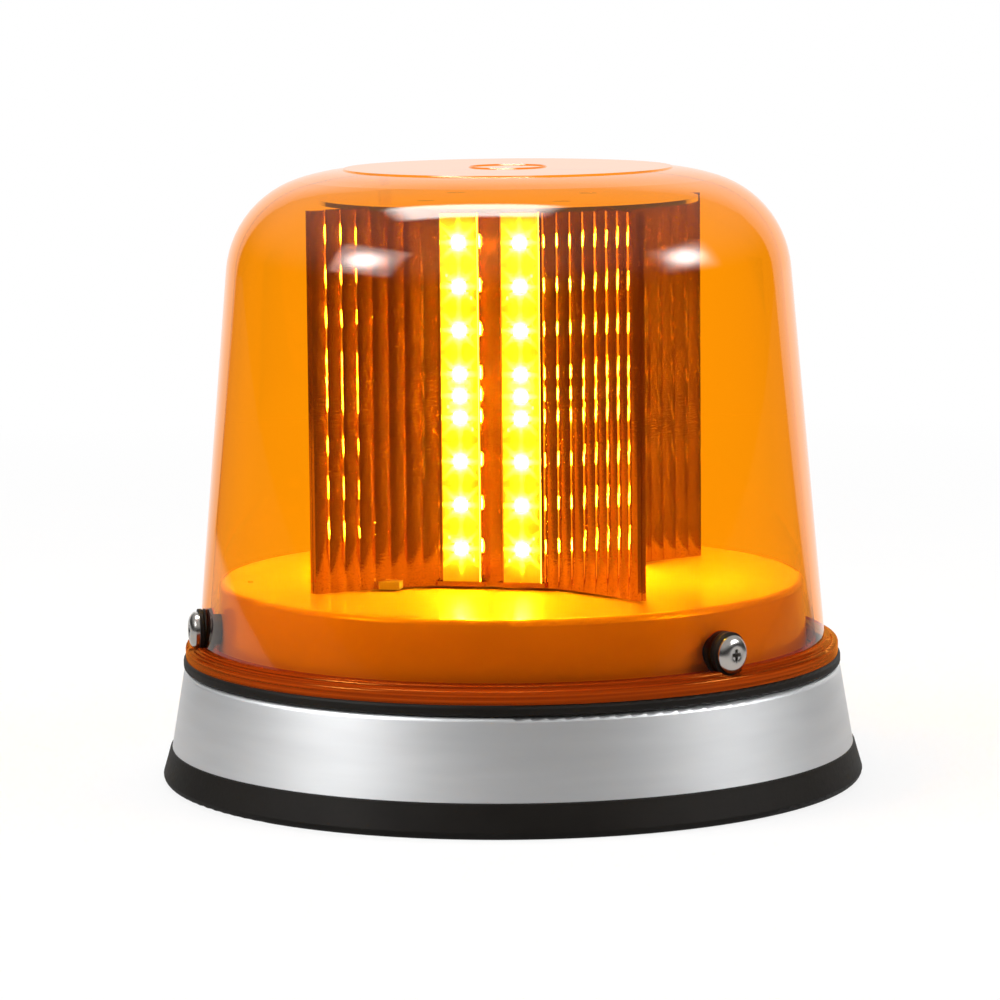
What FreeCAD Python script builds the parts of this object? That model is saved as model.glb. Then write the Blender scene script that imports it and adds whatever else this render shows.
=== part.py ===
import FreeCAD, Part

import math
import os

# Rotating warning beacon, millimetres, +Z up, origin at the centre of the foot's resting face.
# A rubber-footed aluminium base carries a moulded deck and a clear amber dome. Under the deck a
# motor drives a large gear by its pinion. The gear's spindle carries the head: four fluted trough
# reflectors about a heat sink with eight LED boards, fed through two slip rings.

# ------------------------------------------------------------------ driving dimensions
# Clearances
seat_gap = 0.05             # round seats inside one body
running_gap = 0.05          # radial play of a shaft in its bush
end_gap = 0.1               # play between a bush's end and what runs against it
loose_gap = 0.4             # parts that only pass each other
overlap = 1.0               # how far a cut or a joined solid reaches past the face it meets
front = -90.0               # degrees from +X to the front

# Rubber foot
foot_web = 3.0              # thickness under the base plate
foot_height = 9.2
foot_flare = 1.9            # how far the skirt spreads from its lip to its tread
foot_lip = 0.6
foot_round = 2.0
foot_web_margin = 2.0       # from the deck screws' heads to the web's inner edge

# Aluminium base ring
ring_top_radius = 88.8
ring_height = 25.1
ring_draft = 9.6            # degrees
ring_wall = 2.5
ring_shelf = 6.5            # width of the turned-in rim that carries the gasket
ring_edge_round = 1.6
ring_flange = 5.0           # width of the foot flange that stands on the plate

# Base plate with its tapped mounting bosses
plate_thickness = 2.5
plate_inset = 5.0           # from the ring's outer foot edge to the plate's edge
mount_count = 3
mount_circle_radius = 65.0
mount_hole_radius = 3.4     # tapping size of an M8 thread
mount_hole_depth = 12.0
mount_boss_radius = 8.0
mount_boss_roof = 2.0
mount_turn = 90.0           # degrees, first mounting hole
standoff_height = 3.5
standoff_radius = 3.5

# Cable grommet
cable_hole_radius = 3.5
grommet_neck_radius = 7.0
grommet_flange_radius = 9.5
grommet_flange = 2.0

# Dome gasket
gasket_thickness = 3.0
gasket_proud = 0.2
gasket_round = 0.9

# Dome
dome_wall = 2.5
dome_draft = 5.07           # degrees
dome_flange_inset = 0.4
dome_flange_width = 3.25
dome_flange = 3.0
dome_bead = 1.1             # radius of the rounded bead at the flange's edge
dome_inner_bead = 0.8       # radius of the bead beside the wall
dome_bead_turn = 120.0      # degrees that each bead turns through
dome_shoulder_drop = 18.7   # from the head's top down to where the wall starts to turn in
dome_shoulder_radius = 27.7
dome_shoulder_turn = 72.1   # degrees, where the shoulder passes into the crown
dome_crown_radius = 53.2
dome_disc_radius = 44.4
dome_disc_step = 0.4
gate_ring_radius = 10.6
gate_ring_width = 0.6
gate_ring_height = 0.25

# Dome screws, M5 low pan head, with rubber bushes and brass inserts
dome_screw_count = 3
dome_screw_turn = 41.0      # degrees from the front, towards +X
dome_screw_rise = 8.8
screw_radius = 2.45
screw_head_radius = 4.95
screw_head_height = 2.4
screw_end_gap = 0.5         # from the screw's tip to the insert's inner end
recess_length = 4.4
recess_width = 1.0
recess_depth = 1.9
bush_radius = 5.7
bush_proud = 1.2            # beyond the dome's outer wall
bush_ribs = 3
bush_groove = 0.35
bush_neck_radius = 4.1
insert_radius = 3.4
insert_length = 7.0
insert_boss_radius = 5.5

# Deck
deck_thickness = 2.5
deck_wall = 2.5
deck_draft = 3.0            # degrees
deck_gap = 2.4              # between the deck's wall and the dome at the bottom
deck_round = 1.7
deck_flange = 2.4
deck_flange_reach = 2.7
deck_skirt = 5.0            # how far the wall reaches into the base ring
hub_radius = 14.0
rib_thickness = 1.8
rib_depth = 6.0
column_radius = 4.5
column_hole_depth = 16.0
dimple_radius = 70.0        # distance of the small sink mark from the axis
dimple_turn = -84.0         # degrees from the front
dimple_size = 1.4
dimple_depth = 0.5

# Deck screws, M4 countersunk, from below
deck_screw_radius = 1.9
deck_screw_head_radius = 3.6
deck_screw_length = 16.0

# Driver board and what stands on it
board_thickness = 1.6
board_margin = 2.0
board_hole_inset = 7.0
board_hole_radius = 9.9
board_screw_radius = 1.4
board_screw_head = 2.6
board_screw_head_height = 1.8
board_parts_inset = 10.5    # from the board's edge to the ring of tall components
capacitor_radius = 5.0
capacitor_height = 12.5
capacitor_crimp = 0.35      # depth of the groove near the can's foot
capacitor_crimp_height = 1.8
capacitor_turns = (-14.0, 14.0)
choke_radius = 5.5
choke_height = 8.0
choke_waist = 4.3
choke_cheek = 1.4
choke_turn = 182.0
terminal_length = 15.0
terminal_depth = 9.0
terminal_height = 9.5
terminal_well_radius = 2.0
terminal_well_depth = 3.0
terminal_entry = 3.6        # side of each square wire entry
terminal_entry_depth = 4.0
terminal_entry_sill = 1.2
terminal_turn = 240.0
chip_size = 7.0
chip_height = 1.6
chip_turns = (296.0, 318.0, 160.0)

# Spindle, bushes and slip rings
spindle_radius = 6.0
spindle_bore = 3.5
bearing_wall = 3.0
bearing_length = 8.0
bearing_flange = 1.5
bearing_flange_width = 2.0
washer_thickness = 0.45
clip_thickness = 1.0
clip_width = 2.2
clip_opening = 2.4
sleeve_wall = 2.5
slip_ring_height = 2.2
slip_ring_wall = 0.7
slip_ring_pitch = 3.4
slip_ring_margin = 0.6
brush_width = 3.0
brush_height = 1.6
brush_length = 7.0
brush_holder_length = 12.0
brush_holder_width = 9.0
brush_holder_gap = 2.0      # from the rings to the holder

# Gear train
gear_module = 1.0
dedendum = 1.25             # in modules
gear_teeth = 72
pinion_teeth = 18
pressure_angle = 20.0       # degrees
gear_width = 6.0
gear_web = 2.6
gear_rim = 4.0
gear_hub_radius = 10.5
gear_hole_count = 6
gear_hole_radius = 5.5
backlash = 0.12

# Motor and bracket
motor_turn = 90.0           # degrees, where the motor sits about the spindle
motor_radius = 13.75
motor_edge_round = 1.2
motor_length = 22.0
motor_nose_radius = 4.0
motor_shaft_radius = 1.5
motor_bearing_depth = 6.0
motor_headroom = 1.7
motor_screw_radius = 1.2
motor_screw_head = 2.2
motor_screw_head_height = 1.3
motor_screw_circle = 8.5
motor_screw_grip = 3.0      # how far the screws reach past the bracket
motor_hole_depth = 4.0
bracket_thickness = 1.5
bracket_width = 17.0
bracket_margin = 1.0        # round the pillars
pillar_radius = 3.6
pillar_hole_depth = 8.0
pillar_spacing = 42.0

# Optical head
head_gap = 0.5              # running gap above the deck
head_turn = -12.0           # degrees, the first trough's direction from the front
head_side_gap = 1.45        # from the corners to the inside of the dome
side_count = 4
reflector_wall = 1.2
reflector_height = 101.0
corner_half_gap = 1.3       # from a trough's edge to the diagonal it shares
trough_flat = 14.2          # half width of the flat bed that holds the boards
trough_depth_share = 0.4735 # depth from the wing's edge to the flat bed, as a share of the half width
flute_count = 8
flute_rise = 0.45
ridge_width = 6.0
ridge_height = 2.3
ledge_width = 12.6
ledge_height = 1.4
ledge_proud = 1.3
led_board_width = 10.0
led_board_thickness = 1.4
led_board_spacing = 16.5
led_board_end_gap = 0.6     # from the board's top to the reflector's top
led_end_margin = 8.8
led_size = 3.2
led_height = 0.7
lens_size = 2.2
lens_height = 0.6
led_rows = 8
turntable_thickness = 2.5
turntable_share = 0.5       # how far the turntable reaches along the wings
turntable_hub_radius = 10.0
turntable_hub_height = 11.0
set_screw_radius = 2.0
sink_wall = 2.5
sink_fin = 2.0
sink_fin_tip_gap = 1.0
port_radius = 3.2
port_hole_radius = 1.4
port_inset = 7.0            # from the heat sink's corner in to the port, along the diagonal
top_plate_thickness = 1.2
top_plate_inset = 11.2      # from the reflectors' corners in to the plate's edge
head_screw_radius = 1.35
head_screw_head = 2.4
head_screw_length = 9.0
tab_place = 26.0            # the wing's locating tab, from the trough's centre line
tab_width = 5.6
tab_height = 2.0
tab_proud = 0.9             # how far it stands out of the wing

# ------------------------------------------------------------------ heights and radii that follow
plate_bottom = foot_web
plate_top = plate_bottom + plate_thickness
ring_bottom = plate_top
ring_top = ring_bottom + ring_height
gasket_top = ring_top + gasket_thickness
dome_bottom = gasket_top
dome_screw_z = dome_bottom + dome_screw_rise

board_bottom = plate_top + standoff_height
board_top = board_bottom + board_thickness
sleeve_bottom = board_top + 2 * loose_gap
sleeve_height = 2 * slip_ring_margin + slip_ring_pitch + slip_ring_height
sleeve_top = sleeve_bottom + sleeve_height
gear_bottom = sleeve_top
gear_top = gear_bottom + gear_width
bracket_bottom = gear_top + motor_screw_head_height + 2 * loose_gap
bracket_top = bracket_bottom + bracket_thickness
deck_underside = bracket_top + motor_length + motor_headroom
deck_top = deck_underside + deck_thickness
clip_bottom = gear_top + loose_gap
clip_top = clip_bottom + clip_thickness
hub_bottom = clip_top + bearing_flange + end_gap
spindle_bottom = sleeve_bottom - loose_gap

head_bottom = deck_top + head_gap
turntable_top = head_bottom + turntable_thickness
reflector_top = head_bottom + reflector_height
head_top = reflector_top + top_plate_thickness
spindle_top = turntable_top + turntable_hub_height
led_board_bottom = head_bottom + ledge_height
led_board_top = reflector_top - led_board_end_gap

ring_slope = math.tan(math.radians(ring_draft))
dome_slope = math.tan(math.radians(dome_draft))
deck_slope = math.tan(math.radians(deck_draft))


def ring_radius(z):
    """Outer radius of the base ring's cone at height z."""
    return ring_top_radius + (ring_top - z) * ring_slope


dome_flange_radius = ring_top_radius - dome_flange_inset
dome_foot_radius = dome_flange_radius - dome_flange_width
shoulder_bottom = head_top - dome_shoulder_drop


def dome_radius(z):
    """Outer radius of the dome's straight wall at height z."""
    return dome_foot_radius - (z - dome_bottom) * dome_slope


def dome_inner_radius(z):
    """Inner radius of the dome at height z, on the wall or on the shoulder."""
    draft = math.radians(dome_draft)
    centre_r = dome_radius(shoulder_bottom) - dome_shoulder_radius * math.cos(draft)
    centre_z = shoulder_bottom - dome_shoulder_radius * math.sin(draft)
    inner = dome_shoulder_radius - dome_wall
    if z < centre_z + inner * math.sin(draft):
        return dome_radius(z) - dome_wall / math.cos(draft)
    return centre_r + math.sqrt(inner ** 2 - (z - centre_z) ** 2)


shelf_radius = ring_top_radius - ring_edge_round - ring_shelf
plate_radius = ring_radius(ring_bottom) - plate_inset
deck_foot_radius = dome_foot_radius - dome_wall - deck_gap
column_circle = deck_foot_radius - deck_wall - column_radius - loose_gap
foot_inner_radius = column_circle + deck_screw_head_radius + foot_web_margin
foot_lip_radius = ring_radius(foot_height) + foot_lip
foot_radius = foot_lip_radius + foot_flare
board_radius = mount_circle_radius - mount_boss_radius - board_margin
board_hole_circle = board_radius - board_hole_inset
board_parts_radius = board_radius - board_parts_inset
gear_radius = 0.5 * gear_module * gear_teeth
pinion_radius = 0.5 * gear_module * pinion_teeth
motor_distance = gear_radius + pinion_radius
bearing_radius = spindle_radius + running_gap + bearing_wall
slip_ring_radius = spindle_radius + sleeve_wall + slip_ring_wall

corner_radius = dome_inner_radius(reflector_top) - head_side_gap
corner_diagonal = math.sqrt(corner_radius ** 2 - corner_half_gap ** 2)
trough_half = (corner_diagonal - corner_half_gap) / math.sqrt(2)
trough_depth = trough_half * trough_depth_share
wing_reach = trough_half - trough_flat
bed_distance = (corner_diagonal + corner_half_gap) / math.sqrt(2) - trough_depth
wing_start_slope = 2 * trough_depth / wing_reach - 1.0
sink_face = bed_distance - reflector_wall
side_step = 360.0 / side_count
port_circle_radius = sink_face * math.sqrt(2) - port_inset
top_plate_radius = corner_radius - top_plate_inset

UP = FreeCAD.Vector(0, 0, 1)
ORIGIN = FreeCAD.Vector(0, 0, 0)


# ------------------------------------------------------------------ helpers
def arc(centre_r, centre_z, radius, start, end):
    """A step of an outline: an arc about a centre, from one angle to another in degrees."""
    points = []
    for angle in (0.5 * (start + end), end):
        turn = math.radians(angle)
        points += [centre_r + radius * math.cos(turn), centre_z + radius * math.sin(turn)]
    return tuple(points)


def outline(steps, place):
    """A closed wire through (u, v) points; a step of four numbers is an arc by way of a point."""
    edges = []
    here = steps[0]
    for step in list(steps[1:]) + [steps[0]]:
        end = step[-2:]
        if math.dist(here, end) < 1e-6:
            continue
        if len(step) == 4:
            edges.append(Part.Arc(place(*here), place(*step[:2]), place(*end)).toShape())
        else:
            edges.append(Part.makeLine(place(*here), place(*end)))
        here = end
    return Part.Wire(edges)


def lathe(steps):
    """A solid of revolution about Z from an outline of (radius, height)."""
    wire = outline(steps, lambda r, z: FreeCAD.Vector(r, 0, z))
    return Part.Face(wire).revolve(ORIGIN, UP, 360)


def prism(steps, bottom, top):
    """An upright prism from an outline of (x, y)."""
    wire = outline(steps, lambda x, y: FreeCAD.Vector(x, y, bottom))
    return Part.Face(wire).extrude(FreeCAD.Vector(0, 0, top - bottom))


def rod(radius, bottom, top, x=0.0, y=0.0):
    """An upright cylinder."""
    return Part.makeCylinder(radius, top - bottom, FreeCAD.Vector(x, y, bottom))


def tube(outer, inner, bottom, top, x=0.0, y=0.0):
    """An upright tube."""
    return rod(outer, bottom, top, x, y).cut(rod(inner, bottom, top, x, y))


def block(x_low, x_high, y_low, y_high, z_low, z_high):
    """A box between two corners."""
    corner = FreeCAD.Vector(x_low, y_low, z_low)
    return Part.makeBox(x_high - x_low, y_high - y_low, z_high - z_low, corner)


def turned(shape, angle):
    """A copy of a shape, turned about Z."""
    copy = shape.copy()
    copy.rotate(ORIGIN, UP, angle)
    return copy


def around(shape, count, first=0.0):
    """Copies of a shape at equal steps about Z."""
    return [turned(shape, first + index * 360.0 / count) for index in range(count)]


def polar(radius, angle):
    """The x and y of a point at a distance and an angle from +X."""
    turn = math.radians(angle)
    return radius * math.cos(turn), radius * math.sin(turn)


def joined(shapes):
    """One clean solid from shapes that touch or overlap."""
    return shapes[0].multiFuse(shapes[1:]).removeSplitter()


def pan_screw(head_radius, head_height, radius, length):
    """A domed screw standing on the plane z = 0, its shank pointing down."""
    rim = 0.45 * head_height
    crown = (0.76 * head_radius, 0.88 * head_height, 0.3 * head_radius, head_height)
    return lathe([(0, -length), (radius, -length), (radius, 0), (head_radius, 0),
                  (head_radius, rim), crown, (0, head_height)])


def flat_screw(head_radius, radius, length):
    """A countersunk screw with its flat head down on the plane z = 0, its shank pointing up."""
    cone = head_radius - radius
    return lathe([(0, 0), (head_radius, 0), (radius, cone), (radius, length), (0, length)])


# ------------------------------------------------------------------ base
column_angles = [mount_turn + 180.0 / mount_count + index * 360.0 / mount_count
                 for index in range(mount_count)]
rib_angles = [mount_turn + index * 180.0 / mount_count for index in range(1, 2 * mount_count)]


def make_foot():
    """Rubber foot: a flared skirt about the ring and a web under the plate's edge."""
    tread = foot_radius - foot_round
    return lathe([
        (foot_inner_radius, 0), (tread, 0), arc(tread, foot_round, foot_round, -90, 0),
        (foot_lip_radius, foot_height - foot_lip),
        arc(foot_lip_radius - foot_lip, foot_height - foot_lip, foot_lip, 0, 90),
        (ring_radius(foot_height) + seat_gap, foot_height - seat_gap),
        (ring_radius(ring_bottom) + seat_gap, ring_bottom),
        (plate_radius + seat_gap, ring_bottom), (plate_radius + seat_gap, plate_bottom),
        (foot_inner_radius, plate_bottom)])


def make_base_ring():
    """Turned aluminium ring: a leaning wall, a shelf for the gasket and a foot flange."""
    low = ring_radius(ring_bottom)
    lean = ring_draft
    round_r = ring_top_radius + ring_edge_round * ring_slope - ring_edge_round / math.cos(
        math.radians(lean))
    round_z = ring_top - ring_edge_round
    flange_in = plate_radius - ring_flange
    return lathe([
        (flange_in, ring_bottom), (low, ring_bottom),
        (round_r + ring_edge_round * math.cos(math.radians(lean)),
         round_z + ring_edge_round * math.sin(math.radians(lean))),
        arc(round_r, round_z, ring_edge_round, lean, 90),
        (shelf_radius, ring_top), (shelf_radius, ring_top - ring_wall),
        (ring_radius(ring_top - ring_wall) - ring_wall, ring_top - ring_wall),
        (ring_radius(ring_bottom + ring_wall) - ring_wall, ring_bottom + ring_wall),
        (flange_in, ring_bottom + ring_wall)])


def make_base_plate():
    """Cast floor with three tapped bosses, standoffs and holes for the cable and the screws."""
    boss_top = plate_bottom + mount_hole_depth + mount_boss_roof
    boss = rod(mount_boss_radius, plate_bottom, boss_top, mount_circle_radius, 0)
    standoff = rod(standoff_radius, plate_bottom, board_bottom, board_hole_circle, 0)
    solids = [rod(plate_radius, plate_bottom, plate_top)]
    solids += around(boss, mount_count, mount_turn)
    solids += around(standoff, mount_count, column_angles[0])
    plate = joined(solids)
    mount_hole = rod(mount_hole_radius, plate_bottom, plate_bottom + mount_hole_depth,
                     mount_circle_radius, 0)
    countersink = flat_screw(deck_screw_head_radius + seat_gap, deck_screw_radius + seat_gap,
                             plate_thickness)
    countersink.translate(FreeCAD.Vector(column_circle, 0, plate_bottom))
    board_hole = rod(board_screw_radius, plate_top - 0.5 * plate_thickness, board_bottom,
                     board_hole_circle, 0)
    cuts = around(mount_hole, mount_count, mount_turn)
    cuts += around(countersink, mount_count, column_angles[0])
    cuts += around(board_hole, mount_count, column_angles[0])
    cuts.append(rod(grommet_neck_radius, plate_bottom, plate_top))
    return plate.cut(cuts)


def make_grommet():
    """Rubber grommet that seals the cable in the plate's central hole."""
    low = plate_bottom - grommet_flange
    high = plate_top + grommet_flange
    corner = 0.25 * grommet_flange
    neck = grommet_neck_radius - seat_gap
    return lathe([
        (cable_hole_radius, low), (grommet_flange_radius - corner, low),
        (grommet_flange_radius, low + corner), (grommet_flange_radius, plate_bottom),
        (neck, plate_bottom), (neck, plate_top), (grommet_flange_radius, plate_top),
        (grommet_flange_radius, high - corner), (grommet_flange_radius - corner, high),
        (cable_hole_radius, high)])


def make_deck_screws():
    """Countersunk screws that pull the base plate and the deck together."""
    screw = flat_screw(deck_screw_head_radius, deck_screw_radius, deck_screw_length)
    screw.translate(FreeCAD.Vector(column_circle, 0, plate_bottom))
    return around(screw, mount_count, column_angles[0])


def make_gasket():
    """Sealing ring between the base ring's shelf and the dome's flange."""
    outer = ring_top_radius + gasket_proud
    inner = deck_foot_radius + deck_flange_reach + loose_gap
    edge = outer - gasket_round
    return lathe([
        (inner, ring_top), (edge, ring_top), arc(edge, ring_top + gasket_round, gasket_round, -90, 0),
        (outer, gasket_top - gasket_round),
        arc(edge, gasket_top - gasket_round, gasket_round, 0, 90), (inner, gasket_top)])


# ------------------------------------------------------------------ dome and its screws
def make_dome_shell():
    """Moulded dome: beaded flange, drafted wall, turned-in shoulder and a stepped top disc."""
    draft = dome_draft
    lean = math.radians(draft)
    turn = math.radians(dome_shoulder_turn)
    centre_r = dome_radius(shoulder_bottom) - dome_shoulder_radius * math.cos(lean)
    centre_z = shoulder_bottom - dome_shoulder_radius * math.sin(lean)
    crown_r = centre_r + (dome_shoulder_radius - dome_crown_radius) * math.cos(turn)
    crown_z = centre_z + (dome_shoulder_radius - dome_crown_radius) * math.sin(turn)
    edge = math.degrees(math.acos((dome_disc_radius - crown_r) / dome_crown_radius))
    disc_z = crown_z + dome_crown_radius * math.sin(math.radians(edge))
    inner_shoulder = dome_shoulder_radius - dome_wall
    inner_crown = dome_crown_radius - dome_wall
    inner_top = crown_z + inner_crown
    bead_r = dome_flange_radius - dome_bead
    bead_z = dome_bottom + dome_flange - 0.5 * dome_bead
    second_r = dome_foot_radius + 0.6 * dome_inner_bead
    second_z = dome_bottom + dome_flange + dome_inner_bead
    foot_z = second_z + dome_inner_bead
    inner_foot = dome_foot_radius - dome_wall / math.cos(lean)
    return lathe([
        (inner_foot, dome_bottom), (dome_flange_radius, dome_bottom),
        (dome_flange_radius, bead_z), arc(bead_r, bead_z, dome_bead, 0, dome_bead_turn),
        (second_r + dome_inner_bead, second_z),
        arc(second_r, second_z, dome_inner_bead, 0, dome_bead_turn),
        (dome_radius(foot_z), foot_z),
        (dome_radius(shoulder_bottom), shoulder_bottom),
        arc(centre_r, centre_z, dome_shoulder_radius, draft, dome_shoulder_turn),
        arc(crown_r, crown_z, dome_crown_radius, dome_shoulder_turn, edge),
        (dome_disc_radius - dome_disc_step, disc_z + dome_disc_step),
        (gate_ring_radius, disc_z + dome_disc_step),
        (gate_ring_radius - 0.5 * gate_ring_width, disc_z + dome_disc_step + gate_ring_height),
        (gate_ring_radius - gate_ring_width, disc_z + dome_disc_step),
        (0, disc_z + dome_disc_step), (0, inner_top), (crown_r, inner_top),
        arc(crown_r, crown_z, inner_crown, 90, dome_shoulder_turn),
        arc(centre_r, centre_z, inner_shoulder, dome_shoulder_turn, draft)])


def screw_places():
    """The angles of the dome screws from +X."""
    step = 360.0 / dome_screw_count
    return [front + dome_screw_turn + index * step for index in range(dome_screw_count)]


def radial(shape, distance, angle):
    """A shape built along +Z from the origin, laid out radially at the dome screws' height."""
    copy = shape.copy()
    copy.rotate(ORIGIN, FreeCAD.Vector(0, 1, 0), 90)
    copy.translate(FreeCAD.Vector(distance, 0, dome_screw_z))
    copy.rotate(ORIGIN, UP, angle)
    return copy


def make_dome():
    """The dome with a round hole for each bush."""
    hole = rod(bush_radius + seat_gap, 0, 4 * dome_wall)
    start = dome_radius(dome_screw_z) - 2 * dome_wall
    return make_dome_shell().cut([radial(hole, start, angle) for angle in screw_places()])


def bush_face():
    """Distance from the axis to the outer face of the bushes."""
    return dome_radius(dome_screw_z) + bush_proud


def make_bushes(deck):
    """Ribbed rubber bushes in the dome's holes, each with a neck that reaches in to the deck."""
    face = bush_face()
    inside = deck_foot_radius - 2 * deck_wall
    seat_start = dome_radius(dome_screw_z) - dome_wall
    pitch = (face - seat_start) / bush_ribs
    steps = [(0, 0), (bush_radius, 0)]
    for rib in range(1, bush_ribs):
        valley = rib * pitch
        steps += [(bush_radius, valley - bush_groove), (bush_radius - bush_groove, valley),
                  (bush_radius, valley + bush_groove)]
    plug = lathe(steps + [(bush_radius, face - seat_start), (0, face - seat_start)])
    neck = rod(bush_neck_radius, 0, face - inside)
    bore = rod(screw_radius + seat_gap, 0, 2 * (face - inside))
    seat = rod(insert_radius + seat_gap, 0, insert_outer() - inside + overlap)
    bushes = []
    for angle in screw_places():
        whole = radial(plug, seat_start, angle).fuse(radial(neck, inside, angle))
        kept = whole.cut([radial(cut, inside - overlap, angle) for cut in (bore, seat)]).cut(deck)
        bushes.append(max(kept.Solids, key=lambda solid: solid.CenterOfMass.dot(
            FreeCAD.Vector(*polar(1, angle), 0))))
    return bushes


def make_dome_screws():
    """Cross-recessed pan head screws, lying radially with their heads outside."""
    length = bush_face() - insert_outer() + insert_length - screw_end_gap
    screw = pan_screw(screw_head_radius, screw_head_height, screw_radius, length)
    deep = screw_head_height - recess_depth
    half = 0.5 * recess_length
    arm = block(-half, half, -0.5 * recess_width, 0.5 * recess_width, deep, screw_head_height)
    screw = screw.cut([arm, turned(arm, 90)])
    return [radial(screw, bush_face(), angle) for angle in screw_places()]


def insert_outer():
    """Distance from the axis to the outer end of the brass inserts."""
    return deck_radius(dome_screw_z + insert_radius) - seat_gap


def make_inserts():
    """Brass inserts in the deck's bosses."""
    insert = tube(insert_radius, screw_radius + seat_gap, 0, insert_length)
    start = insert_outer() - insert_length
    return [radial(insert, start, angle) for angle in screw_places()]


# ------------------------------------------------------------------ deck
def deck_radius(z):
    """Outer radius of the deck's drafted wall at height z."""
    return deck_foot_radius - (z - ring_top) * deck_slope


def make_deck():
    """Moulded deck: drafted cup with a flange, hub, ribs, columns, pillars and screw bosses."""
    flange_top = ring_top + deck_flange
    skirt = shelf_radius - seat_gap
    low = ring_top - deck_skirt
    edge_r = deck_radius(deck_top - deck_round) - deck_round
    edge_z = deck_top - deck_round
    inner = skirt - deck_wall
    inner_top = deck_radius(deck_underside) - deck_wall
    cup = lathe([
        (inner, low), (skirt, low), (skirt, ring_top),
        (deck_foot_radius + deck_flange_reach, ring_top),
        (deck_foot_radius + deck_flange_reach, flange_top), (deck_radius(flange_top), flange_top),
        (edge_r + deck_round, edge_z), arc(edge_r, edge_z, deck_round, 0, 90),
        (0, deck_top), (0, deck_underside), (inner_top, deck_underside),
        (min(inner, deck_radius(flange_top) - deck_wall), flange_top),
        (min(inner, deck_radius(flange_top) - deck_wall), ring_top)])
    solids = [cup, rod(hub_radius, hub_bottom, deck_top)]
    half = 0.5 * rib_thickness
    reach = inner_top + 0.5 * deck_wall
    rib = block(0, reach, -half, half, deck_underside - rib_depth, deck_top - overlap)
    solids += [turned(rib, angle) for angle in rib_angles]
    column = rod(column_radius, plate_top, deck_top - overlap, column_circle, 0)
    solids += [turned(column, angle) for angle in column_angles]
    for side in (-1, 1):
        pillar = rod(pillar_radius, bracket_top, deck_top - overlap,
                     motor_distance, side * 0.5 * pillar_spacing)
        solids.append(turned(pillar, motor_turn))
    boss_start = insert_outer() - insert_length - deck_wall
    boss_length = deck_radius(dome_screw_z) - 0.5 * deck_wall - boss_start
    boss = rod(insert_boss_radius, 0, boss_length)
    solids += [radial(boss, boss_start, angle) for angle in screw_places()]
    deck = joined(solids)

    cuts = [rod(bearing_radius, hub_bottom, deck_top)]
    cuts.append(rod(bearing_radius + bearing_flange_width + seat_gap, deck_top - bearing_flange, deck_top))
    hole = rod(deck_screw_radius + seat_gap, plate_top, plate_top + column_hole_depth,
               column_circle, 0)
    cuts += [turned(hole, angle) for angle in column_angles]
    for side in (-1, 1):
        hole = rod(motor_screw_radius, bracket_top, bracket_top + pillar_hole_depth,
                   motor_distance, side * 0.5 * pillar_spacing)
        cuts.append(turned(hole, motor_turn))
    seat = rod(insert_radius + seat_gap, 0, 2 * insert_length)
    cuts += [radial(seat, insert_outer() - insert_length, angle) for angle in screw_places()]
    dimple = block(dimple_radius, dimple_radius + dimple_size, -dimple_size, dimple_size,
                   deck_top - dimple_depth, deck_top)
    cuts.append(turned(dimple, front + dimple_turn))
    return deck.cut(cuts)


# ------------------------------------------------------------------ drive
def involute_point(base, radius):
    """Angle that an involute has turned through when it reaches a radius."""
    roll = math.sqrt(max((radius / base) ** 2 - 1, 0))
    return roll - math.atan(roll)


def gear_steps(teeth):
    """The outline of a spur gear with involute flanks, one tooth centred on +X."""
    pitch = 0.5 * gear_module * teeth
    base = pitch * math.cos(math.radians(pressure_angle))
    tip = pitch + gear_module
    root = pitch - dedendum * gear_module
    low = max(base, root)
    half = (0.25 * math.pi * gear_module - 0.5 * backlash) / pitch + involute_point(base, pitch)
    middle = 0.5 * (low + tip)

    def at(radius, angle):
        return radius * math.cos(angle), radius * math.sin(angle)

    steps = []
    for tooth in range(teeth):
        centre = 2 * math.pi * tooth / teeth
        spread = [half - involute_point(base, radius) for radius in (low, middle, tip)]
        steps.append(at(root, centre - spread[0]))
        steps.append(at(low, centre - spread[0]))
        steps.append(at(middle, centre - spread[1]) + at(tip, centre - spread[2]))
        steps.append(at(tip, centre) + at(tip, centre + spread[2]))
        steps.append(at(middle, centre + spread[1]) + at(low, centre + spread[0]))
        steps.append(at(root, centre + spread[0]))
    return steps


def make_gear():
    """Large driven gear: toothed rim, thin web with round windows, and a hub."""
    gear = prism(gear_steps(gear_teeth), gear_bottom, gear_top)
    rim = gear_radius - dedendum * gear_module - gear_rim
    web_low = gear_bottom + 0.5 * (gear_width - gear_web)
    web_high = web_low + gear_web
    cuts = [
        tube(rim, gear_hub_radius, gear_bottom, web_low),
        tube(rim, gear_hub_radius, web_high, gear_top),
        rod(spindle_radius, gear_bottom, gear_top)]
    window_circle = 0.5 * (rim + gear_hub_radius)
    cuts += around(rod(gear_hole_radius, web_low, web_high, window_circle, 0), gear_hole_count)
    return gear.cut(cuts)


def make_pinion():
    """Motor pinion, a little wider than the gear it drives."""
    extra = loose_gap
    pinion = prism(gear_steps(pinion_teeth), gear_bottom - extra, gear_top + extra)
    pinion = pinion.cut(rod(motor_shaft_radius, gear_bottom - extra, gear_top + extra))
    pinion.translate(FreeCAD.Vector(*polar(motor_distance, motor_turn), 0))
    return pinion


def at_motor(shape):
    """A shape built about the Z axis, moved to the motor."""
    copy = shape.copy()
    copy.rotate(ORIGIN, UP, motor_turn)
    copy.translate(FreeCAD.Vector(*polar(motor_distance, motor_turn), 0))
    return copy


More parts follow.
